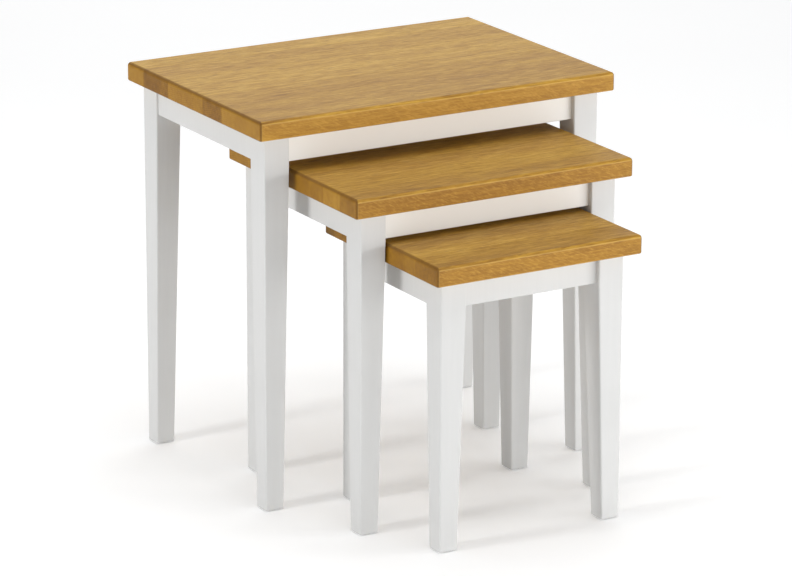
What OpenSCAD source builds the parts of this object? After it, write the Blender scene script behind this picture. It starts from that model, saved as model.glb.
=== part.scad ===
// Nest of three tables: laminated oak tops on painted frames with tapered legs.
// The medium and the small table slide out towards -Y from under the large one.
// Origin: on the floor, under the centre of the nest with both smaller tables drawn part-way out.

/* [Large table] */
// Width of the large top
large_w = 504; // [492:1:560]
// Depth of the large top
large_d = 350; // [340:1:400]
// Height of the large table
large_h = 500; // [495:1:560]
// Top overhang past the large legs at the sides
large_over_x = 14; // [8:1:15]
// Top overhang past the large legs at the front and back
large_over_y = 17; // [10:1:22]

/* [Medium table] */
// Width of the medium top
medium_w = 390; // [386:1:394]
// Depth of the medium top
medium_d = 318; // [300:1:330]
// Height of the medium table
medium_h = 428; // [424:1:434]
// Top overhang past the medium legs at the sides
medium_over_x = 15; // [12:1:16]
// Top overhang past the medium legs at the front and back
medium_over_y = 16; // [10:1:22]
// How far the medium table stands out from the front edge of the large one
medium_out = 130; // [0:5:300]

/* [Small table] */
// Width of the small top
small_w = 287; // [270:1:288]
// Depth of the small top
small_d = 267; // [250:1:290]
// Height of the small table
small_h = 363; // [350:1:364]
// Top overhang past the small legs at the sides
small_over_x = 15.5; // [10:0.5:20]
// Top overhang past the small legs at the front and back
small_over_y = 17; // [10:1:22]
// How far the small table stands out from the front edge of the medium one
small_out = 100; // [0:5:250]

/* [Tops] */
// Thickness of every top
top_t = 24; // [18:1:26]
// Radius of the rounded vertical corners of a top
top_corner_r = 3.5; // [2:0.5:8]
// Radius of the upper edges of a top
top_edge_r = 5; // [2:0.5:8]
// Radius of the lower edges of a top
under_edge_r = 2; // [1:0.5:6]

/* [Legs] */
// Thickness of a leg where the aprons meet it
leg_w = 35; // [32:1:36]
// Thickness of a leg at its foot
foot_w = 25; // [20:1:30]

/* [Aprons] */
// Height of every apron
apron_h = 36; // [34:1:40]
// Thickness of every apron
apron_t = 18; // [15:1:20]
// Setback of the front and back aprons behind the leg faces
apron_setback_y = 7; // [4:1:8]
// Setback of the side aprons behind the leg faces
apron_setback_x = 3; // [2:1:4]

/* [Corner blocks] */
// Height of a corner block
block_h = 32; // [30:1:34]
// Gap between a corner block and the leg that it wraps
block_gap = 2; // [1:0.5:3]
// Reach of a corner block along the front or back apron
block_reach = 25; // [22:1:30]

/* [Dowels] */
// Diameter of a dowel
dowel_d = 8; // [6:1:8]
// Depth of a dowel in the leg, and again in the apron
dowel_depth = 15; // [12:1:16]
// Height between the two dowels of one joint
dowel_pitch = 18; // [16:1:20]

/* [Hardware] */
// Diameter of a leg bolt
bolt_d = 6; // [5:1:6]
// Depth of a leg bolt in its leg, along the diagonal
bolt_depth = 22; // [18:1:24]
// Width of a nut across its flats
nut_w = 10; // [9:1:11]
// Thickness of a nut
nut_t = 5; // [4:0.5:6]
// Diameter of a washer
washer_d = 14; // [12:1:16]
// Thickness of a washer
washer_t = 1.2; // [1:0.1:2]
// Shank diameter of a top screw
screw_d = 4; // [3:0.5:4.5]
// Head diameter of a top screw
screw_head_d = 8; // [7:0.5:9]
// Thickness of a top screw's head
screw_head_t = 2.4; // [2:0.1:3]
// Depth of a top screw in the top
screw_depth = 14; // [10:1:16]
// Diameter of a foot pad
pad_d = 18; // [14:1:20]
// Thickness of a foot pad
pad_t = 1.2; // [1:0.1:3]

/* [Hidden] */
$fn = 48;

OAK = "#c69a5a";
PAINT = "#e9e6e1";
PINE = "#d9bd8c";
BEECH = "#d8b98a";
ZINC = "#b9bcc0";
FELT = "#6b6661";

// Running clearance round dowels, bolts and screws
slack = 0.05;
// Clearance round a bolt in its corner block
block_slack = 0.25;
// Cutters run past the surface that they open by this much
past = 1;

nest_depth = large_d + medium_out + small_out;
large_front = nest_depth / 2 - large_d;
medium_front = large_front - medium_out;
small_front = medium_front - small_out;

// A table is [top width, top depth, height, side overhang, front overhang, y of the top's front edge]
LARGE = [large_w, large_d, large_h, large_over_x, large_over_y, large_front];
MEDIUM = [medium_w, medium_d, medium_h, medium_over_x, medium_over_y, medium_front];
SMALL = [small_w, small_d, small_h, small_over_x, small_over_y, small_front];

function top_w(table) = table[0];
function top_d(table) = table[1];
// Underside of the top
function under_z(table) = table[2] - top_t;
// Width and depth of the frame over the outer faces of its legs
function frame_w(table) = top_w(table) - 2 * table[3];
function frame_d(table) = top_d(table) - 2 * table[4];
// Middle of the table along Y
function mid_y(table) = table[5] + top_d(table) / 2;
// Lower edge of the aprons
function apron_z(table) = under_z(table) - apron_h;
// Height of the leg bolts
function bolt_z(table) = under_z(table) - apron_h / 2;

// Inner faces of the aprons, from the outer faces of a leg
apron_in_x = apron_setback_x + apron_t;
apron_in_y = apron_setback_y + apron_t;
// Sum of x and y along a corner block's free face, from the outer corner of a leg
block_face = leg_w + block_gap + block_reach + apron_in_y;
// Distance from the outer corner of a leg to the free face, along the diagonal
block_face_at = block_face / sqrt(2);
leg_corner_at = leg_w * sqrt(2);
// The bolt shows this far past its nut
bolt_end = 3;
// Screws stand this far from the inner face of the apron beside them
screw_inset = 8;

// Corner signs: [left or right, front or back]
CORNERS = [[-1, -1], [1, -1], [-1, 1], [1, 1]];

// Puts a shape made at a leg's outer corner, growing along +X and +Y, at one corner of a table
module at_corner(table, side) {
  translate([side[0] * frame_w(table) / 2, mid_y(table) + side[1] * frame_d(table) / 2, 0])
    mirror([side[0] > 0 ? 1 : 0, 0, 0])
      mirror([0, side[1] > 0 ? 1 : 0, 0])
        children();
}

// Points a shape made along +Z from the outer corner of a leg inwards along the diagonal
module along_diagonal(z) {
  translate([0, 0, z])
    rotate([0, 0, 45])
      rotate([0, 90, 0])
        children();
}

// A rectangle with round corners, centred
module rounded_rect(w, d, r) {
  square([w - 2 * r, d], center = true);
  square([w, d - 2 * r], center = true);
  for (x = [-1, 1], y = [-1, 1])
    translate([x * (w / 2 - r), y * (d / 2 - r)])
      circle(r);
}

// Section of a board, more rounded above than below, centred
module board_section(w, t) {
  intersection() {
    rounded_rect(w, t, top_edge_r);
    translate([-w / 2, 0])
      square([w, t / 2]);
  }
  intersection() {
    rounded_rect(w, t, under_edge_r);
    translate([-w / 2, -t / 2])
      square([w, t / 2]);
  }
}

// A board with round corners and edges, centred
module eased_board(w, d, t) {
  intersection() {
    translate([0, 0, -t / 2])
      linear_extrude(t)
        rounded_rect(w, d, top_corner_r);
    rotate([90, 0, 0])
      translate([0, 0, -d / 2])
        linear_extrude(d)
          board_section(w, t);
    rotate([90, 0, 90])
      translate([0, 0, -w / 2])
        linear_extrude(w)
          board_section(d, t);
  }
}

module table_top(table) {
  color(OAK)
    difference() {
      translate([0, mid_y(table), under_z(table) + top_t / 2])
        eased_board(top_w(table), top_d(table), top_t);
      for (side = CORNERS)
        at_corner(table, side)
          screw_holes(under_z(table) - past, screw_depth + past);
    }
}

// Two vertical screw places in one corner block
module screw_places() {
  x = (leg_w + block_gap + apron_in_x) / 2;
  y = (leg_w + block_gap + apron_in_y) / 2;
  translate([x, leg_w + block_gap + screw_inset + screw_head_d / 2, 0])
    children();
  translate([leg_w + block_gap + screw_inset, y, 0])
    children();
}

module screw_holes(z, depth) {
  screw_places()
    translate([0, 0, z])
      cylinder(h = depth, d = screw_d + 2 * slack);
}

// The part of a block that a taper takes away, on the side that faces along +X
module taper_wedge(z) {
  translate([0, leg_w + past, 0])
    rotate([90, 0, 0])
      linear_extrude(leg_w + 2 * past)
        polygon([[foot_w, pad_t], [foot_w, pad_t - past], [leg_w + past, pad_t - past],
                 [leg_w + past, z], [leg_w, z]]);
}

// Places of the dowels that join one leg to its two aprons, with each dowel along +Z into the apron
module dowel_places(table) {
  for (lift = [-1, 1]) {
    z = bolt_z(table) + lift * dowel_pitch / 2;
    translate([leg_w, apron_setback_y + apron_t / 2, z])
      rotate([0, 90, 0])
        children();
    translate([apron_setback_x + apron_t / 2, leg_w, z])
      rotate([-90, 0, 0])
        children();
  }
}

module dowel(extra) {
  length = 2 * (dowel_depth + extra);
  cylinder(h = length, d = dowel_d + 2 * extra, center = true);
}

module leg(table, side) {
  color(PAINT)
    at_corner(table, side)
      difference() {
        translate([0, 0, pad_t])
          cube([leg_w, leg_w, under_z(table) - pad_t]);
        taper_wedge(apron_z(table));
        mirror([1, -1, 0])
          taper_wedge(apron_z(table));
        dowel_places(table)
          dowel(slack);
        along_diagonal(bolt_z(table))
          translate([0, 0, leg_corner_at - bolt_depth - slack])
            cylinder(h = bolt_depth + past, d = bolt_d + 2 * slack);
      }
}

// An apron along X, at the front (-1) or the back (1)
module long_apron(table, face) {
  length = frame_w(table) - 2 * leg_w;
  y = mid_y(table) + face * (frame_d(table) / 2 - apron_setback_y - apron_t / 2);
  color(PAINT)
    difference() {
      translate([-length / 2, y - apron_t / 2, apron_z(table)])
        cube([length, apron_t, apron_h]);
      for (x = [-1, 1])
        at_corner(table, [x, face])
          dowel_places(table)
            dowel(slack);
    }
}

// An apron along Y, at the left (-1) or the right (1)
module side_apron(table, face) {
  length = frame_d(table) - 2 * leg_w;
  x = face * (frame_w(table) / 2 - apron_setback_x - apron_t / 2);
  color(PAINT)
    difference() {
      translate([x - apron_t / 2, mid_y(table) - length / 2, apron_z(table)])
        cube([apron_t, length, apron_h]);
      for (y = [-1, 1])
        at_corner(table, [face, y])
          dowel_places(table)
            dowel(slack);
    }
}

module corner_blocks(table) {
  near = leg_w + block_gap;
  color(PINE)
    for (side = CORNERS)
      at_corner(table, side)
        difference() {
          translate([0, 0, under_z(table) - block_h])
            linear_extrude(block_h)
              polygon([[apron_in_x, near], [near, near], [near, apron_in_y],
                       [block_face - apron_in_y, apron_in_y], [apron_in_x, block_face - apron_in_x]]);
          screw_holes(under_z(table) - block_h - past, block_h + 2 * past);
          along_diagonal(bolt_z(table))
            cylinder(h = 2 * block_face_at, d = bolt_d + 2 * block_slack);
        }
}

module dowels(table) {
  color(BEECH)
    for (side = CORNERS)
      at_corner(table, side)
        dowel_places(table)
          dowel(0);
}

module leg_bolts(table) {
  start = leg_corner_at - bolt_depth;
  end = block_face_at + washer_t + nut_t + bolt_end;
  color(ZINC)
    for (side = CORNERS)
      at_corner(table, side)
        along_diagonal(bolt_z(table))
          translate([0, 0, start])
            cylinder(h = end - start, d = bolt_d);
}

module washers(table) {
  color(ZINC)
    for (side = CORNERS)
      at_corner(table, side)
        along_diagonal(bolt_z(table))
          translate([0, 0, block_face_at])
            difference() {
              cylinder(h = washer_t, d = washer_d);
              translate([0, 0, -past])
                cylinder(h = washer_t + 2 * past, d = bolt_d + 2 * block_slack);
            }
}

module nuts(table) {
  color(ZINC)
    for (side = CORNERS)
      at_corner(table, side)
        along_diagonal(bolt_z(table))
          translate([0, 0, block_face_at + washer_t])
            difference() {
              cylinder(h = nut_t, d = nut_w / cos(30), $fn = 6);
              translate([0, 0, -past])
                cylinder(h = nut_t + 2 * past, d = bolt_d + 2 * slack);
            }
}

module top_screws(table) {
  under_block = under_z(table) - block_h;
  color(ZINC)
    for (side = CORNERS)
      at_corner(table, side)
        screw_places() {
          translate([0, 0, under_block - screw_head_t])
            cylinder(h = screw_head_t, d = screw_head_d);
          translate([0, 0, under_block])
            cylinder(h = block_h + screw_depth - slack, d = screw_d);
        }
}

module foot_pads(table) {
  color(FELT)
    for (side = CORNERS)
      at_corner(table, side)
        translate([foot_w / 2, foot_w / 2, 0])
          cylinder(h = pad_t, d = pad_d);
}

table_top(LARGE);  // large_top
leg(LARGE, [-1, -1]);  // large_leg_front_left
leg(LARGE, [1, -1]);  // large_leg_front_right
leg(LARGE, [-1, 1]);  // large_leg_back_left
leg(LARGE, [1, 1]);  // large_leg_back_right
long_apron(LARGE, -1);  // large_apron_front
long_apron(LARGE, 1);  // large_apron_back
side_apron(LARGE, -1);  // large_apron_left
side_apron(LARGE, 1);  // large_apron_right
corner_blocks(LARGE);  // large_corner_blocks
dowels(LARGE);  // large_dowels
leg_bolts(LARGE);  // large_leg_bolts
washers(LARGE);  // large_washers
nuts(LARGE);  // large_nuts
top_screws(LARGE);  // large_top_screws
foot_pads(LARGE);  // large_foot_pads

table_top(MEDIUM);  // medium_top
leg(MEDIUM, [-1, -1]);  // medium_leg_front_left
leg(MEDIUM, [1, -1]);  // medium_leg_front_right
leg(MEDIUM, [-1, 1]);  // medium_leg_back_left
leg(MEDIUM, [1, 1]);  // medium_leg_back_right
long_apron(MEDIUM, -1);  // medium_apron_front
long_apron(MEDIUM, 1);  // medium_apron_back
side_apron(MEDIUM, -1);  // medium_apron_left
side_apron(MEDIUM, 1);  // medium_apron_right
corner_blocks(MEDIUM);  // medium_corner_blocks
dowels(MEDIUM);  // medium_dowels
leg_bolts(MEDIUM);  // medium_leg_bolts
washers(MEDIUM);  // medium_washers
nuts(MEDIUM);  // medium_nuts
top_screws(MEDIUM);  // medium_top_screws
foot_pads(MEDIUM);  // medium_foot_pads

table_top(SMALL);  // small_top
leg(SMALL, [-1, -1]);  // small_leg_front_left
leg(SMALL, [1, -1]);  // small_leg_front_right
leg(SMALL, [-1, 1]);  // small_leg_back_left
leg(SMALL, [1, 1]);  // small_leg_back_right
long_apron(SMALL, -1);  // small_apron_front
long_apron(SMALL, 1);  // small_apron_back
side_apron(SMALL, -1);  // small_apron_left
side_apron(SMALL, 1);  // small_apron_right
corner_blocks(SMALL);  // small_corner_blocks
dowels(SMALL);  // small_dowels
leg_bolts(SMALL);  // small_leg_bolts
washers(SMALL);  // small_washers
nuts(SMALL);  // small_nuts
top_screws(SMALL);  // small_top_screws
foot_pads(SMALL);  // small_foot_pads
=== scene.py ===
"""Looks of a nest of three tables: boards of glued oak staves on satin white frames."""
import math
import random

import bmesh
import bpy
from mathutils import Matrix, Vector


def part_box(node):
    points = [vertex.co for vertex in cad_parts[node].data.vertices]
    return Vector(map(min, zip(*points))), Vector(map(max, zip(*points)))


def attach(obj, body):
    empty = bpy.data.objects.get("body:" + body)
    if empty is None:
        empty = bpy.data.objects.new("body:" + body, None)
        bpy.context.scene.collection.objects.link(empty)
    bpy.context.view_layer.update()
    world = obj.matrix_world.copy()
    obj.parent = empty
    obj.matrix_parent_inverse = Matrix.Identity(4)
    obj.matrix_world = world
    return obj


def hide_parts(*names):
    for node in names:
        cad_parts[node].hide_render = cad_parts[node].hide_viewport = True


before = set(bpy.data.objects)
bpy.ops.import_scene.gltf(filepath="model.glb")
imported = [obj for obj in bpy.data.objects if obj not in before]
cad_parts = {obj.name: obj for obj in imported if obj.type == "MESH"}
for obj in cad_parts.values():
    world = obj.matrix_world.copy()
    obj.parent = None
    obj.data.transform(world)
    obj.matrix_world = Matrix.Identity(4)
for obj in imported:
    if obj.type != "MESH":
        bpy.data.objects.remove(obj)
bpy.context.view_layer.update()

MM = 0.001
TABLES = ("large", "medium", "small")
SIDES = ("left", "right")
ENDS = ("front", "back")

# Camera, from the direction that the object is seen in: angles, distance in metres, lens and
# sensor in millimetres, and how far it sees in metres
CAMERA_AZIMUTH = math.radians(-30.5)
CAMERA_ELEVATION = math.radians(17.06)
CAMERA_ROLL = math.radians(0.19)
CAMERA_DISTANCE = 5.306
CAMERA_LENS = 187.65
SENSOR_WIDTH = 36
FARTHEST_SEEN = 1000
# Point that the camera looks at
CAMERA_TARGET = Vector((0.0537, 0.140, 0.1952))

# Soft boxes: bearing and height above the floor in degrees, distance, width and height in
# metres, power in watts
LIGHT_AIM = Vector((0, 0, 0.2))
SOFT_BOXES = (
    ("left_box", -91, 14, 4, 0.7, 1.8, 64),
    ("right_box", 58, 5, 4, 1.2, 0.9, 46),
    ("front_box", 30, 4, 4, 1.8, 0.8, 34),
    ("low_box", -2, 5, 4, 1.0, 0.9, 28),
    ("back_box", 155, 26, 4.5, 5.0, 3.6, 52),
    ("top_box", 0, 89, 3, 2.6, 2.6, 46),
)
WORLD_STRENGTH = 0.33
WORLD_COLOUR = (0.98, 0.99, 1.0, 1)
# How far the floor reaches to each side, in metres
FLOOR_REACH = 200

# Staves of each top from front to back: where each ends, as a part of the top's depth, and
# how dark its face and its end grain are against the mean
# Part of the darkness of the large top's front staves is painted shade, for the sheen that fades
# towards its near edge
STAVES = {
    "large": ((0.28, 1.30, -0.35), (0.42, 1.10, 0.75), (0.68, 0.30, -0.15),
              (0.87, 0.75, 0.80), (1.0, 0.05, -0.20)),
    "medium": ((0.125, 1.50, 0.35), (0.25, 0.60, -0.60), (0.41, 0.90, 0.20),
               (0.63, 0.20, -0.05), (0.82, 0.45, 0.45), (1.0, 0.30, 0.0)),
    "small": ((0.19, 1.45, 0.55), (0.28, 0.35, 0.10), (0.52, 0.60, 0.30),
              (0.77, 0.20, 0.0), (1.0, 0.40, 0.40)),
}
# How much darker the front edge of each top is than the face of its first stave
EDGE_SHADE = {"large": 0.0, "medium": 1.5, "small": 1.2}
# A face whose normal points at least this far forward belongs to the front edge
FRONT_FACING = 0.96
# Growth centre of each stave, drawn at random: least and most distance above or below the
# board, and most distance aside and along it in metres
PITH_DROP = (40 * MM, 110 * MM)
PITH_ASIDE = 45 * MM
PITH_ALONG = 3
# Seed of the first board's draws, which the other boards count on from
FIRST_SEED = 11
CORNER_RADIUS = 3.5 * MM
UPPER_EDGE_RADIUS = 5 * MM
LOWER_EDGE_RADIUS = 2 * MM
CORNER_STEPS = 5
UPPER_EDGE_STEPS = 7
LOWER_EDGE_STEPS = 3
GROOVE_HALF = 0.2 * MM
GROOVE_DEPTH = 0.12 * MM
# A fold sharper than this is an edge
SHARP_ANGLE = math.radians(40)
# Rounded arrises of the frames, with the steps that each is rounded in
LEG_ARRIS = 2 * MM
LEG_ARRIS_STEPS = 4
FOOT_ARRIS = 0.8 * MM
FOOT_ARRIS_STEPS = 2
APRON_ARRIS = 1 * MM
APRON_ARRIS_STEPS = 3
EASED_STEPS = 2
# Points nearer to each other than this are one point
SAME_POINT = 1e-6
# Points nearer to a cut than this lie on it
CUT_TOLERANCE = 1e-7
# Share of painted light in the paint of the front and back aprons. The legs have none
# It mixes in a lighter, warmer white for the light and the warm bounce off the oak that the aprons
# catch
APRON_PAINTED_LIGHT = {"large": 1.0, "medium": 1.0, "small": 0.0}

# Bolts and screws, whose places, lengths and widths are read from the CAD
ROUND_STEPS = 24
BOLT_PITCH = 1 * MM
BOLT_THREAD = 16 * MM
SCREW_PITCH = 1.8 * MM
SCREW_HEAD = 2.4 * MM
SCREW_SHANK_RADIUS = 2 * MM
# Depth of a thread, as a part of its pitch
THREAD_DEPTH = 0.35
HEAD_ROUNDING = 0.8 * MM
RECESS_WIDTH = 0.9 * MM
RECESS_LENGTH = 4.4 * MM
RECESS_DEPTH = 1.4 * MM
RECESS_TAPER = 0.55
# Pieces that keep their CAD shape, with their material and the width of their small bevels
KEPT_PIECES = (
    ("corner_blocks", "bare_pine", 0.6 * MM),
    ("dowels", "beech", 0.4 * MM),
    ("washers", "zinc_steel", 0.2 * MM),
    ("nuts", "zinc_steel", 0.5 * MM),
    ("foot_pads", "grey_felt", 0.3 * MM),
)


# Materials

class Graph:
    """A material's node tree, with short calls for the nodes that the materials share."""

    def __init__(self, name):
        self.material = bpy.data.materials.new(name)
        self.material.use_nodes = True
        self.tree = self.material.node_tree
        self.shader = self.tree.nodes["Principled BSDF"]

    def put(self, socket, value):
        """Links a socket, or sets it to a constant."""
        if isinstance(value, bpy.types.NodeSocket):
            self.tree.links.new(value, socket)
        else:
            socket.default_value = value

    def add(self, kind, inputs=(), **settings):
        node = self.tree.nodes.new(kind)
        for key, value in settings.items():
            setattr(node, key, value)
        for key, value in dict(inputs).items():
            self.put(node.inputs[key], value)
        return node

    def place(self):
        return self.add("ShaderNodeTexCoord").outputs["Object"]

    def attribute(self, name, output):
        return self.add("ShaderNodeAttribute", attribute_name=name).outputs[output]

    def stretched(self, vector, scale):
        node = self.add("ShaderNodeVectorMath", {0: vector, 1: scale}, operation="MULTIPLY")
        return node.outputs[0]

    def moved(self, vector, shift):
        node = self.add("ShaderNodeVectorMath", {0: vector, 1: shift}, operation="ADD")
        return node.outputs[0]

    def noise(self, vector, scale=1.0, detail=3.0, roughness=0.5, output="Fac"):
        node = self.add("ShaderNodeTexNoise", {
            "Vector": vector, "Scale": scale, "Detail": detail, "Roughness": roughness})
        return node.outputs[output]

    def math(self, operation, a, b=0.0, c=0.0):
        node = self.add("ShaderNodeMath", {0: a, 1: b, 2: c}, operation=operation)
        return node.outputs[0]

    def fit(self, value, low, high, to_low=0.0, to_high=1.0):
        node = self.add("ShaderNodeMapRange", {
            "Value": value, "From Min": low, "From Max": high, "To Min": to_low, "To Max": to_high})
        return node.outputs["Result"]

    def ramp(self, value, stops):
        node = self.add("ShaderNodeValToRGB", {"Fac": value})
        elements = node.color_ramp.elements
        while len(elements) < len(stops):
            elements.new(0.5)
        for element, (position, colour) in zip(elements, stops):
            element.position = position
            element.color = (*colour, 1)
        return node.outputs["Color"]

    def mix(self, factor, a, b):
        node = self.add("ShaderNodeMix", {"Factor": factor}, data_type="RGBA")
        for key, value in ((6, a), (7, b)):
            if isinstance(value, tuple):
                value = (*value, 1)
            self.put(node.inputs[key], value)
        return node.outputs[2]

    def bump(self, height, strength, distance, normal=None):
        node = self.add("ShaderNodeBump", {
            "Height": height, "Strength": strength, "Distance": distance})
        if normal is not None:
            self.put(node.inputs["Normal"], normal)
        return node.outputs["Normal"]

    def finish(self, **values):
        for key, value in values.items():
            self.put(self.shader.inputs[key.replace("_", " ")], value)
        return self.material


def grain_warp(g, place, amount):
    """Bends straight grain a little along the boards."""
    drift = g.noise(g.stretched(place, (2.2, 9.0, 9.0)), detail=2.0, output="Color")
    centred = g.moved(drift, (-0.5, -0.5, -0.5))
    return g.add("ShaderNodeVectorMath", {0: centred, 1: (0.0, amount, amount), 2: place},
                 operation="MULTIPLY_ADD").outputs[0]


def oak_material():
    """Satin lacquered oak, with the growth rings of each stave worked out as a solid."""
    g = Graph("oiled_oak")
    place = g.place()
    tone = g.attribute("tone", "Fac")
    end_tone = g.attribute("end_tone", "Fac")
    local = g.moved(place, g.attribute("pith", "Vector"))
    bent = grain_warp(g, local, 0.005)

    normal = g.add("ShaderNodeSeparateXYZ", {0: g.add("ShaderNodeTexCoord").outputs["Normal"]})
    across = g.math("ABSOLUTE", normal.outputs["X"])
    front = g.math("ABSOLUTE", normal.outputs["Y"])
    end = g.fit(across, 0.60, 0.95)
    end_arris = g.math("MULTIPLY", g.fit(across, 0.15, 0.45), g.fit(across, 0.80, 0.97, 1.0, 0.0))
    side = g.fit(front, 0.96, 0.997)
    # Painted highlight: a lighter band low on the rounded front and back arrises, where the low
    # front lamps glint
    arris_highlight = g.math("MULTIPLY", g.fit(front, 0.84, 0.94), g.fit(front, 0.965, 0.997, 1.0, 0.0))

    section = g.stretched(bent, (0.0, 1.0, 1.0))
    radius = g.add("ShaderNodeVectorMath", {0: section}, operation="LENGTH").outputs["Value"]
    wobble = g.noise(g.stretched(local, (5.0, 60.0, 60.0)), detail=3.0)
    rings = g.math("FRACT", g.math("MULTIPLY_ADD", radius, 420.0, g.math("MULTIPLY", wobble, 1.6)))
    late = g.math("MULTIPLY", rings, g.math("SUBTRACT", 1.0, g.math("POWER", rings, 6.0)))

    streak = g.noise(g.stretched(bent, (34.0, 420.0, 420.0)), detail=5.0, roughness=0.70)
    fibre = g.noise(g.stretched(local, (40.0, 620.0, 620.0)), detail=4.0, roughness=0.7)
    cloud = g.noise(g.stretched(bent, (5.0, 42.0, 42.0)), detail=5.0, roughness=0.66)
    smudge = g.fit(g.noise(g.stretched(g.moved(bent, (5.0, 0.3, 0.0)), (10.0, 80.0, 80.0)),
                           detail=5.0, roughness=0.7), 0.55, 0.78)
    dash = g.fit(g.noise(g.stretched(bent, (56.0, 640.0, 640.0)), detail=3.0, roughness=0.6),
                 0.57, 0.68)
    pores = g.fit(g.noise(g.stretched(local, (80.0, 2600.0, 2600.0)), detail=1.0), 0.60, 0.72)
    ray_place = g.add("ShaderNodeVectorRotate", {"Vector": local, "Angle": -0.42},
                      rotation_type="Y_AXIS").outputs[0]
    ray = g.fit(g.noise(g.stretched(ray_place, (90.0, 90.0, 420.0)), detail=5.0, roughness=0.75),
                0.48, 0.66)

    depth = g.math("MULTIPLY_ADD", g.fit(streak, 0.32, 0.68), 0.50, g.math("MULTIPLY", late, 0.10))
    depth = g.math("ADD", depth, g.math("MULTIPLY", tone, 0.16))
    depth = g.math("ADD", depth, g.fit(cloud, 0.30, 0.70, -0.19, 0.13))
    depth = g.math("ADD", depth, g.fit(fibre, 0.35, 0.65, -0.11, 0.11))
    depth = g.math("MULTIPLY_ADD", smudge, 0.34, depth)
    colour = g.ramp(depth, (
        (0.05, (0.640, 0.385, 0.066)),
        (0.28, (0.530, 0.300, 0.040)),
        (0.55, (0.400, 0.204, 0.022)),
        (0.90, (0.215, 0.094, 0.012))))
    colour = g.mix(g.math("MULTIPLY", dash, 0.65), colour, (0.200, 0.090, 0.014))
    colour = g.mix(g.math("MULTIPLY", pores, 0.30), colour, (0.20, 0.085, 0.018))

    figured = g.mix(0.50, colour, (0.350, 0.160, 0.012))
    figured = g.mix(g.math("MULTIPLY", ray, 0.54), figured, (0.58, 0.32, 0.05))
    colour = g.mix(side, colour, figured)
    # Painted highlight along the rounded arris, mixed into the oak's colour
    colour = g.mix(g.math("MULTIPLY", arris_highlight, 0.40), colour, (0.66, 0.42, 0.12))

    mottle = g.noise(g.stretched(local, (40.0, 170.0, 170.0)), detail=5.0, roughness=0.75)
    cut = g.math("MULTIPLY_ADD", late, 0.30, g.math("MULTIPLY", mottle, 0.66))
    cut = g.math("ADD", cut, g.fit(cloud, 0.35, 0.65, -0.10, 0.12))
    cut = g.math("MULTIPLY_ADD", end_tone, 0.30, cut)
    end_colour = g.ramp(cut, (
        (0.10, (0.410, 0.215, 0.018)),
        (0.45, (0.305, 0.144, 0.008)),
        (0.90, (0.158, 0.064, 0.003))))
    colour = g.mix(end, colour, end_colour)
    colour = g.mix(g.math("MULTIPLY", end_arris, 0.75), colour, (0.120, 0.045, 0.003))

    rough = g.fit(g.math("ADD", streak, g.math("MULTIPLY", pores, 0.4)), 0.3, 1.0, 0.44, 0.62)
    surface = g.math("SUBTRACT", g.math("MULTIPLY", fibre, 0.4), g.math("MAXIMUM", pores, dash))
    bump = g.bump(surface, 0.35, 0.08 * MM)
    bump = g.bump(streak, 0.20, 0.20 * MM, bump)
    return g.finish(Base_Color=colour, Roughness=rough, Normal=bump, Specular_IOR_Level=0.25)


def paint_material():
    """Satin white paint, sprayed on sanded wood whose grain shows faintly."""
    g = Graph("white_paint")
    place = g.place()
    along = g.stretched(place, (240.0, 240.0, 14.0))
    grain = g.noise(along, detail=3.0, roughness=0.6)
    peel = g.noise(place, scale=700.0, detail=2.0)
    cloud = g.noise(place, scale=9.0, detail=3.0)
    shade = g.math("ADD", g.math("MULTIPLY", grain, 0.35), g.math("MULTIPLY", cloud, 0.65))
    colour = g.ramp(shade, (
        (0.30, (0.598, 0.597, 0.588)),
        (0.70, (0.632, 0.632, 0.624))))
    # Painted light: the front and back aprons are mixed towards a lighter, warmer white for the
    # light they catch
    colour = g.mix(g.attribute("painted_light", "Fac"), colour, (0.800, 0.792, 0.762))
    bump = g.bump(grain, 0.10, 0.15 * MM)
    bump = g.bump(peel, 0.12, 0.05 * MM, bump)
    rough = g.fit(cloud, 0.3, 0.7, 0.36, 0.46)
    return g.finish(Base_Color=colour, Roughness=rough, Normal=bump, IOR=1.48)


def plain_wood_material(name, light, dark, along):
    """Bare wood, with its grain along one axis."""
    g = Graph(name)
    place = g.place()
    scale = tuple(30.0 if axis == along else 380.0 for axis in "XYZ")
    streak = g.noise(g.stretched(place, scale), detail=4.0, roughness=0.6)
    cloud = g.noise(place, scale=40.0, detail=2.0)
    value = g.math("MULTIPLY_ADD", streak, 0.7, g.math("MULTIPLY", cloud, 0.3))
    colour = g.ramp(value, ((0.35, light), (0.62, dark)))
    bump = g.bump(streak, 0.3, 0.15 * MM)
    return g.finish(Base_Color=colour, Roughness=g.fit(streak, 0.3, 0.7, 0.55, 0.72), Normal=bump)


def zinc_material():
    """Bright zinc plate, with its cloudy spangle."""
    g = Graph("zinc_steel")
    place = g.place()
    spangle = g.noise(place, scale=420.0, detail=3.0)
    colour = g.ramp(spangle, ((0.35, (0.50, 0.51, 0.53)), (0.65, (0.66, 0.67, 0.69))))
    bump = g.bump(spangle, 0.15, 0.05 * MM)
    rough = g.fit(spangle, 0.3, 0.7, 0.28, 0.44)
    return g.finish(Base_Color=colour, Metallic=1.0, Roughness=rough, Normal=bump)


def felt_material():
    """Pressed grey felt."""
    g = Graph("grey_felt")
    place = g.place()
    tuft = g.noise(place, scale=1400.0, detail=4.0, roughness=0.7)
    colour = g.ramp(tuft, ((0.3, (0.075, 0.070, 0.066)), (0.7, (0.150, 0.142, 0.134))))
    bump = g.bump(tuft, 0.8, 0.3 * MM)
    return g.finish(Base_Color=colour, Roughness=0.95, Normal=bump)


def floor_material():
    """Plain white studio floor."""
    g = Graph("studio_floor")
    mottle = g.noise(g.place(), scale=3.0, detail=2.0)
    colour = g.ramp(mottle, ((0.3, (0.965, 0.965, 0.965)), (0.7, (0.975, 0.975, 0.975))))
    return g.finish(Base_Color=colour, Roughness=0.9, Emission_Color=(1, 1, 1, 1),
                    Emission_Strength=0.16)


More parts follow.
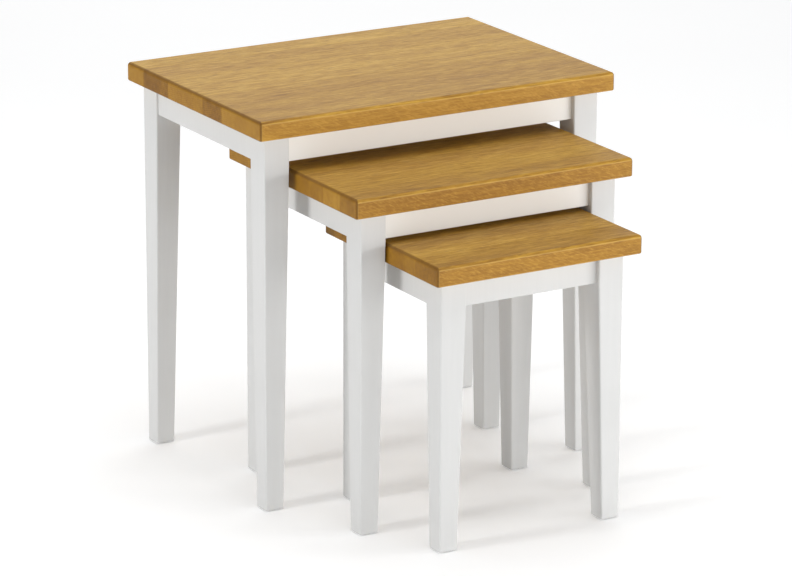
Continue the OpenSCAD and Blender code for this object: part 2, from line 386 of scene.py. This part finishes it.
MATERIALS = {
    "oiled_oak": oak_material(),
    "white_paint": paint_material(),
    "bare_pine": plain_wood_material("bare_pine", (0.72, 0.52, 0.27), (0.56, 0.36, 0.16), "Z"),
    "beech": plain_wood_material("beech", (0.66, 0.45, 0.26), (0.52, 0.32, 0.17), "X"),
    "zinc_steel": zinc_material(),
    "grey_felt": felt_material(),
}


# Meshes

def set_painted_light(piece, amount):
    """Gives a piece its share of painted light, a lighter and warmer white in its paint."""
    painted_light = piece.data.attributes.new("painted_light", "FLOAT", "FACE")
    painted_light.data.foreach_set("value", [amount] * len(piece.data.polygons))


def make_piece(name, bm, table, slot, *nodes):
    """Turns a bmesh into a piece that rides on its table and stands for its CAD nodes."""
    bmesh.ops.recalc_face_normals(bm, faces=bm.faces)
    mesh = bpy.data.meshes.new(name)
    bm.to_mesh(mesh)
    bm.free()
    mesh.materials.append(MATERIALS[slot])
    piece = bpy.data.objects.new(name, mesh)
    bpy.context.scene.collection.objects.link(piece)
    mesh.shade_smooth()
    mesh.set_sharp_from_angle(angle=SHARP_ANGLE)
    even = piece.modifiers.new("even_normals", "WEIGHTED_NORMAL")
    even.mode = "FACE_AREA"
    even.weight = 100
    even.keep_sharp = True
    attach(piece, f"{table}_table")
    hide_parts(*nodes)
    return piece


def box_mesh(low, high):
    bm = bmesh.new()
    bmesh.ops.create_cube(bm, size=1.0)
    size = high - low
    middle = (low + high) / 2
    for vert in bm.verts:
        vert.co = Vector(a * b for a, b in zip(vert.co, size)) + middle
    return bm


def bevel(bm, edges, width, segments):
    bmesh.ops.bevel(bm, geom=list(edges), offset=width, segments=segments,
                    profile=0.5, affect="EDGES", clamp_overlap=True)


def along_axis(edge, axis):
    """True where an edge runs mostly along an axis."""
    step = edge.verts[1].co - edge.verts[0].co
    return abs(step[axis]) > 0.7 * step.length


def cut_across(bm, y):
    geometry = bm.verts[:] + bm.edges[:] + bm.faces[:]
    bmesh.ops.bisect_plane(bm, geom=geometry, dist=CUT_TOLERANCE,
                           plane_co=(0, y, 0), plane_no=(0, 1, 0))


def groove(bm, y):
    """Cuts the hairline that a glue joint leaves round a board."""
    for shift in (-GROOVE_HALF, 0, GROOVE_HALF):
        cut_across(bm, y + shift)
    bm.normal_update()
    on_line = [v for v in bm.verts if abs(v.co.y - y) < GROOVE_HALF / 4]
    inward = [(v, -v.normal * GROOVE_DEPTH) for v in on_line]
    for vert, step in inward:
        vert.co += step
    for edge in bm.edges:
        if all(abs(v.co.y - y) < 1.5 * GROOVE_HALF for v in edge.verts):
            edge.smooth = False


def mark_staves(mesh, low, high, staves, edge_shade, seed):
    """Gives each stave its own growth centre and tones, face by face."""
    rng = random.Random(seed)
    edges = [low + part * (high - low) for part, _, _ in staves]
    centres = []
    for edge in edges:
        drop = rng.uniform(*PITH_DROP) * rng.choice((-1, 1))
        along = rng.uniform(-PITH_ALONG, PITH_ALONG)
        centres.append(Vector((along, rng.uniform(-PITH_ASIDE, PITH_ASIDE) - edge, drop)))
    pith = mesh.attributes.new("pith", "FLOAT_VECTOR", "FACE")
    tone = mesh.attributes.new("tone", "FLOAT", "FACE")
    end_tone = mesh.attributes.new("end_tone", "FLOAT", "FACE")
    for face in mesh.polygons:
        index = sum(face.center.y > edge for edge in edges[:-1])
        pith.data[face.index].vector = centres[index]
        shade = edge_shade if face.normal.y < -FRONT_FACING else 0
        tone.data[face.index].value = staves[index][1] + shade
        end_tone.data[face.index].value = staves[index][2]


def board_outline(low, high, inset, z):
    """Corners and sides of a board at one height, drawn in from its widest outline."""
    radius = max(CORNER_RADIUS - inset, CORNER_RADIUS / 10)
    reach = inset + radius
    points = []
    near, far = low + Vector((reach, reach, 0)), high - Vector((reach, reach, 0))
    centres = ((far.x, far.y), (near.x, far.y), (near.x, near.y), (far.x, near.y))
    for quarter, (x, y) in enumerate(centres):
        for step in range(CORNER_STEPS + 1):
            angle = math.pi / 2 * (quarter + step / CORNER_STEPS)
            points.append((x + radius * math.cos(angle), y + radius * math.sin(angle), z))
    return points


def board_mesh(low, high):
    """A board whose upper edges are rounder than its lower ones."""
    section = []
    for step in range(LOWER_EDGE_STEPS + 1):
        angle = math.pi / 2 * (1 - step / LOWER_EDGE_STEPS)
        section.append((LOWER_EDGE_RADIUS * (1 - math.cos(angle)),
                        low.z + LOWER_EDGE_RADIUS * (1 - math.sin(angle))))
    for step in range(UPPER_EDGE_STEPS + 1):
        angle = math.pi / 2 * step / UPPER_EDGE_STEPS
        section.append((UPPER_EDGE_RADIUS * (1 - math.cos(angle)),
                        high.z - UPPER_EDGE_RADIUS * (1 - math.sin(angle))))
    bm = bmesh.new()
    loops = [[bm.verts.new(point) for point in board_outline(low, high, inset, z)]
             for inset, z in section]
    for under, over in zip(loops, loops[1:]):
        for index in range(len(under)):
            after = (index + 1) % len(under)
            bm.faces.new((under[index], under[after], over[after], over[index]))
    bm.faces.new(reversed(loops[0]))
    bm.faces.new(loops[-1])
    return bm


def make_top(table, seed):
    node = f"{table}_top"
    low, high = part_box(node)
    bm = board_mesh(low, high)
    for part, _, _ in STAVES[table][:-1]:
        groove(bm, low.y + part * (high.y - low.y))
    piece = make_piece(f"{table}_oak_board", bm, table, "oiled_oak", node)
    mark_staves(piece.data, low.y, high.y, STAVES[table], EDGE_SHADE[table], seed)


def foot_width(node):
    """Width of a leg at its foot, read from the CAD leg."""
    points = [v.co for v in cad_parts[node].data.vertices]
    floor_z = min(p.z for p in points)
    foot = [p.x for p in points if p.z < floor_z + 0.01 * MM]
    return max(foot) - min(foot)


def make_leg(table, end, side):
    node = f"{table}_leg_{end}_{side}"
    low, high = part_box(node)
    taper_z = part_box(f"{table}_apron_{end}")[0].z
    foot = foot_width(node)
    bm = box_mesh(low, high)
    geometry = bm.verts[:] + bm.edges[:] + bm.faces[:]
    bmesh.ops.bisect_plane(bm, geom=geometry, plane_co=(0, 0, taper_z), plane_no=(0, 0, 1))
    inner_x = high.x if side == "left" else low.x
    inner_y = high.y if end == "front" else low.y
    outer_x = low.x + high.x - inner_x
    outer_y = low.y + high.y - inner_y
    for vert in bm.verts:
        if vert.co.z > low.z + MM:
            continue
        if abs(vert.co.x - inner_x) < MM:
            vert.co.x = outer_x + math.copysign(foot, inner_x - outer_x)
        if abs(vert.co.y - inner_y) < MM:
            vert.co.y = outer_y + math.copysign(foot, inner_y - outer_y)
    bevel(bm, [e for e in bm.edges if along_axis(e, 2)], LEG_ARRIS, LEG_ARRIS_STEPS)
    bm.normal_update()
    base = [e for e in bm.edges if all(v.co.z < low.z + SAME_POINT for v in e.verts)]
    bevel(bm, base, FOOT_ARRIS, FOOT_ARRIS_STEPS)
    set_painted_light(make_piece(f"{table}_painted_leg_{end}_{side}", bm, table, "white_paint", node), 0.0)


def make_apron(table, place):
    node = f"{table}_apron_{place}"
    low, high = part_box(node)
    axis = 0 if place in ENDS else 1
    bm = box_mesh(low, high)
    lower = [e for e in bm.edges if along_axis(e, axis) and e.verts[0].co.z < low.z + MM]
    bevel(bm, lower, APRON_ARRIS, APRON_ARRIS_STEPS)
    piece = make_piece(f"{table}_painted_apron_{place}", bm, table, "white_paint", node)
    set_painted_light(piece, APRON_PAINTED_LIGHT[table] if place in ENDS else 0.0)


def dress_node(node, slot, edge_width):
    """Gives a CAD node that keeps its shape its finished material and small bevels."""
    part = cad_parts[node]
    part.data.materials.clear()
    part.data.materials.append(MATERIALS[slot])
    eased = part.modifiers.new("eased_edges", "BEVEL")
    eased.width = edge_width
    eased.segments = EASED_STEPS
    eased.limit_method = "ANGLE"
    eased.angle_limit = SHARP_ANGLE


def solids(node):
    """The points of each separate solid of a CAD node."""
    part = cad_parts[node]
    bm = bmesh.new()
    bm.from_mesh(part.data)
    bm.transform(part.matrix_world)
    bmesh.ops.remove_doubles(bm, verts=bm.verts, dist=SAME_POINT)
    left = set(bm.verts)
    found = []
    while left:
        pending = [left.pop()]
        points = []
        while pending:
            vert = pending.pop()
            points.append(vert.co.copy())
            near = {edge.other_vert(vert) for edge in vert.link_edges} & left
            left -= near
            pending += near
        found.append(points)
    bm.free()
    return sorted(found, key=lambda points: tuple(round(c, 5) for c in points_middle(points)))


def points_middle(points):
    """Centre of the box round some points."""
    low = Vector(min(p[axis] for p in points) for axis in range(3))
    high = Vector(max(p[axis] for p in points) for axis in range(3))
    return (low + high) / 2


def thread(start, end, pitch, radius):
    """Profile of a thread, as pairs of distance along the axis and radius."""
    root = radius - THREAD_DEPTH * pitch
    turns = int((end - start) / pitch)
    profile = []
    for turn in range(turns):
        at = start + turn * pitch
        profile += [(at, root), (at + pitch / 2, radius)]
    return profile + [(start + turns * pitch, root)]


def turned(bm, profile, spot, axis):
    """Adds a round solid along an axis, closed at its far end. Returns its first ring."""
    turn = axis.to_track_quat("Z", "Y")
    rings = []
    for along, radius in profile:
        ring = []
        for step in range(ROUND_STEPS):
            angle = 2 * math.pi * step / ROUND_STEPS
            offset = Vector((radius * math.cos(angle), radius * math.sin(angle), along))
            ring.append(bm.verts.new(spot + turn @ offset))
        rings.append(ring)
    for ring, after in zip(rings, rings[1:]):
        for step in range(ROUND_STEPS):
            beside = (step + 1) % ROUND_STEPS
            bm.faces.new((ring[step], ring[beside], after[beside], after[step]))
    bm.faces.new(rings[-1])
    return rings[0]


def make_bolts(table):
    """Hanger bolts: a machine thread for the nut, then a plain shank into the leg."""
    node = f"{table}_leg_bolts"
    centre = points_middle(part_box(node))
    bm = bmesh.new()
    for points in solids(node):
        middle = points_middle(points)
        outward = [math.copysign(1, middle[i] - centre[i]) for i in range(2)]
        axis = Vector((*outward, 0)).normalized()
        reach = [(p - middle).dot(axis) for p in points]
        radius = max(p.z for p in points) - middle.z
        length = max(reach) - min(reach)
        profile = thread(0, BOLT_THREAD, BOLT_PITCH, radius)
        profile += [(BOLT_THREAD + BOLT_PITCH, radius), (length - BOLT_PITCH, radius),
                    (length, radius - THREAD_DEPTH * BOLT_PITCH)]
        bm.faces.new(reversed(turned(bm, profile, middle + min(reach) * axis, axis)))
    make_piece(f"{table}_threaded_bolts", bm, table, "zinc_steel", node)


def cross_recess(bm, rim, centre):
    """Closes the ring of a screw head with a face that has a cross cut into it."""
    arm, half = RECESS_LENGTH / 2, RECESS_WIDTH / 2
    outline = ((half, half), (half, arm), (-half, arm), (-half, half), (-arm, half), (-arm, -half),
               (-half, -half), (-half, -arm), (half, -arm), (half, -half), (arm, -half), (arm, half))
    mouth = [bm.verts.new(centre + Vector((x, y, 0))) for x, y in outline]
    floor = [bm.verts.new(centre + Vector((x * RECESS_TAPER, y * RECESS_TAPER, RECESS_DEPTH)))
             for x, y in outline]
    edges = []
    for loop in (rim, mouth):
        for vert, after in zip(loop, loop[1:] + loop[:1]):
            edges.append(bm.edges.get((vert, after)) or bm.edges.new((vert, after)))
    bmesh.ops.triangle_fill(bm, edges=edges, use_beauty=True)
    for step in range(len(mouth)):
        after = (step + 1) % len(mouth)
        bm.faces.new((mouth[step], mouth[after], floor[after], floor[step]))
    bm.faces.new(floor)


def make_screws(table):
    """Wood screws with round heads, driven up through the corner blocks."""
    node = f"{table}_top_screws"
    bm = bmesh.new()
    for points in solids(node):
        middle = points_middle(points)
        start = Vector((middle.x, middle.y, min(p.z for p in points)))
        length = max(p.z for p in points) - start.z
        radius = max(p.x for p in points) - middle.x
        profile = [(0, radius - HEAD_ROUNDING), (0.3 * HEAD_ROUNDING, radius - 0.3 * HEAD_ROUNDING),
                   (HEAD_ROUNDING, radius), (SCREW_HEAD, radius), (SCREW_HEAD, SCREW_SHANK_RADIUS)]
        profile += thread(SCREW_HEAD + SCREW_PITCH, length - SCREW_PITCH,
                          SCREW_PITCH, SCREW_SHANK_RADIUS)
        profile += [(length, SCREW_SHANK_RADIUS / 8)]
        cross_recess(bm, turned(bm, profile, start, Vector((0, 0, 1))), start)
    make_piece(f"{table}_cross_screws", bm, table, "zinc_steel", node)


# Camera, light and floor

def make_camera():
    back = Vector((
        math.sin(CAMERA_AZIMUTH) * math.cos(CAMERA_ELEVATION),
        -math.cos(CAMERA_AZIMUTH) * math.cos(CAMERA_ELEVATION),
        math.sin(CAMERA_ELEVATION)))
    data = bpy.data.cameras.new("camera")
    data.lens = CAMERA_LENS
    data.sensor_width = SENSOR_WIDTH
    data.clip_end = FARTHEST_SEEN
    camera = bpy.data.objects.new("camera", data)
    turn = back.to_track_quat("Z", "Y").to_matrix().to_4x4()
    spot = Matrix.Translation(CAMERA_TARGET + back * CAMERA_DISTANCE)
    camera.matrix_world = spot @ turn @ Matrix.Rotation(CAMERA_ROLL, 4, "Z")
    bpy.context.scene.collection.objects.link(camera)
    bpy.context.scene.camera = camera


def make_soft_box(name, azimuth, elevation, distance, width, height, power):
    """Hangs a soft box at a bearing from the camera side, facing the tables."""
    turn, rise = math.radians(azimuth), math.radians(elevation)
    away = Vector((
        math.sin(turn) * math.cos(rise),
        -math.cos(turn) * math.cos(rise),
        math.sin(rise)))
    data = bpy.data.lights.new(name, "AREA")
    data.shape = "RECTANGLE"
    data.size = width
    data.size_y = height
    data.energy = power
    light = bpy.data.objects.new(name, data)
    light.location = LIGHT_AIM + distance * away
    light.rotation_euler = away.to_track_quat("Z", "Y").to_euler()
    bpy.context.scene.collection.objects.link(light)


def make_studio():
    bm = bmesh.new()
    bmesh.ops.create_grid(bm, x_segments=1, y_segments=1, size=FLOOR_REACH)
    mesh = bpy.data.meshes.new("studio_floor")
    bm.to_mesh(mesh)
    bm.free()
    mesh.materials.append(floor_material())
    floor = bpy.data.objects.new("studio_floor", mesh)
    bpy.context.scene.collection.objects.link(floor)

    world = bpy.data.worlds.new("studio")
    world.use_nodes = True
    background = world.node_tree.nodes["Background"]
    background.inputs["Color"].default_value = WORLD_COLOUR
    background.inputs["Strength"].default_value = WORLD_STRENGTH
    bpy.context.scene.world = world

    for box in SOFT_BOXES:
        make_soft_box(*box)
    bpy.context.scene.view_settings.view_transform = "Standard"


for order, table in enumerate(TABLES):
    make_top(table, seed=FIRST_SEED + order)
    for end in ENDS:
        for side in SIDES:
            make_leg(table, end, side)
    for place in ENDS + SIDES:
        make_apron(table, place)
    make_bolts(table)
    make_screws(table)
    for part, slot, width in KEPT_PIECES:
        dress_node(f"{table}_{part}", slot, width)

make_camera()
make_studio()
